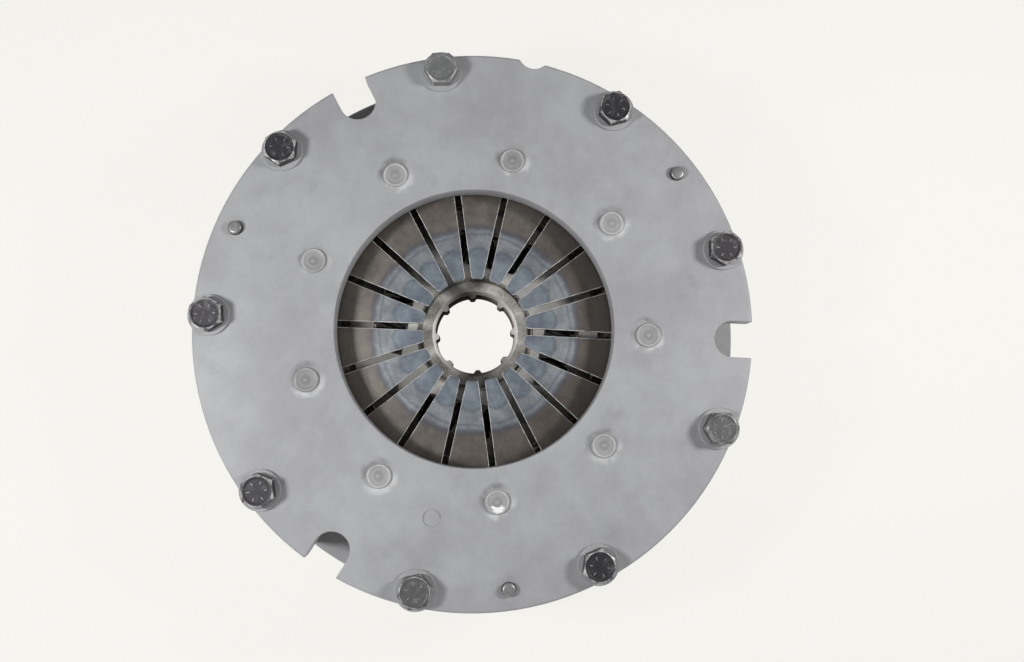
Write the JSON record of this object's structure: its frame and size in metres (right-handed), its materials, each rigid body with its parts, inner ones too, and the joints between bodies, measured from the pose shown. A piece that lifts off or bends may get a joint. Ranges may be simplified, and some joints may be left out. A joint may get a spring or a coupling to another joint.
{
  "type": "power take-off clutch",
  "caption": "Round dry clutch for a power take-off: bolted housing, diaphragm spring with radial fingers, lifting pressure plate and sprung driven disc with a splined hub.",
  "frame": {"origin": "centre of the back plate's rear face, on the clutch's axis", "axes": "+Z along the axis towards the cover and the release bearing; +X through the middle of one rim notch of the cover"},
  "size_m": [0.332, 0.33, 0.0975],
  "materials": {
    "cover_paint": "satin light grey paint",
    "ring_paint": "satin grey paint",
    "back_plate_iron": "turned, dull",
    "bolt_steel": "dark oxide with bright worn edges",
    "washer_steel": "plain",
    "pin_steel": "ground",
    "spring_steel": "heat-blued towards the tips",
    "rivet_paint": "painted with the cover",
    "wire_steel": "drawn",
    "pressure_iron": "as cast, ground friction face",
    "clip_steel": "phosphated",
    "facing": "woven friction lining",
    "segment_steel": "rolled",
    "rivet_brass": "tubular rivets",
    "damper_steel": "pressed, satin",
    "coil_steel": "dark, oiled",
    "friction_ring": "moulded",
    "hub_steel": "machined, dull"
  },
  "bodies": {
    "housing": {"cover": "cover_paint", "housing_ring": "ring_paint", "back_plate": "back_plate_iron", "cover_bolts": "bolt_steel", "bolt_washers": "washer_steel", "dowel_pins": "pin_steel", "diaphragm_spring": "spring_steel", "fulcrum_rivets": "rivet_paint", "fulcrum_ring_front": "wire_steel", "fulcrum_ring_rear": "wire_steel"},
    "pressure_plate": {"pressure_plate": "pressure_iron", "retractor_clips": "clip_steel", "clip_screws": "bolt_steel"},
    "disc": {"facing_front": "facing", "facing_rear": "facing", "cushion_segments": "segment_steel", "facing_rivets": "rivet_brass", "drive_plate": "damper_steel", "retainer_plate": "damper_steel", "segment_rivets": "segment_steel", "stop_pins": "segment_steel", "damper_springs": "coil_steel", "friction_ring_front": "friction_ring", "friction_ring_rear": "friction_ring", "load_washer": "clip_steel"},
    "hub": {"splined_hub": "hub_steel"}
  },
  "joints": [
    {"name": "pressure_plate_lift", "type": "slide", "parent": "housing", "child": "pressure_plate", "axis": [0, 0, 1], "range_m": [0, 0.0016], "stiffness_N_per_m": 20000, "deforming": ["diaphragm_spring"]},
    {"name": "disc_spin", "type": "hinge", "parent": "housing", "child": "disc", "pos_m": [0, 0, 0.02], "axis": [0, 0, 1], "continuous": true},
    {"name": "hub_twist", "type": "hinge", "parent": "disc", "child": "hub", "pos_m": [0, 0, 0.0163], "axis": [0, 0, 1], "range_deg": [-8, 8], "stiffness_Nm_per_rad": 20, "deforming": ["damper_springs"]}
  ]
}
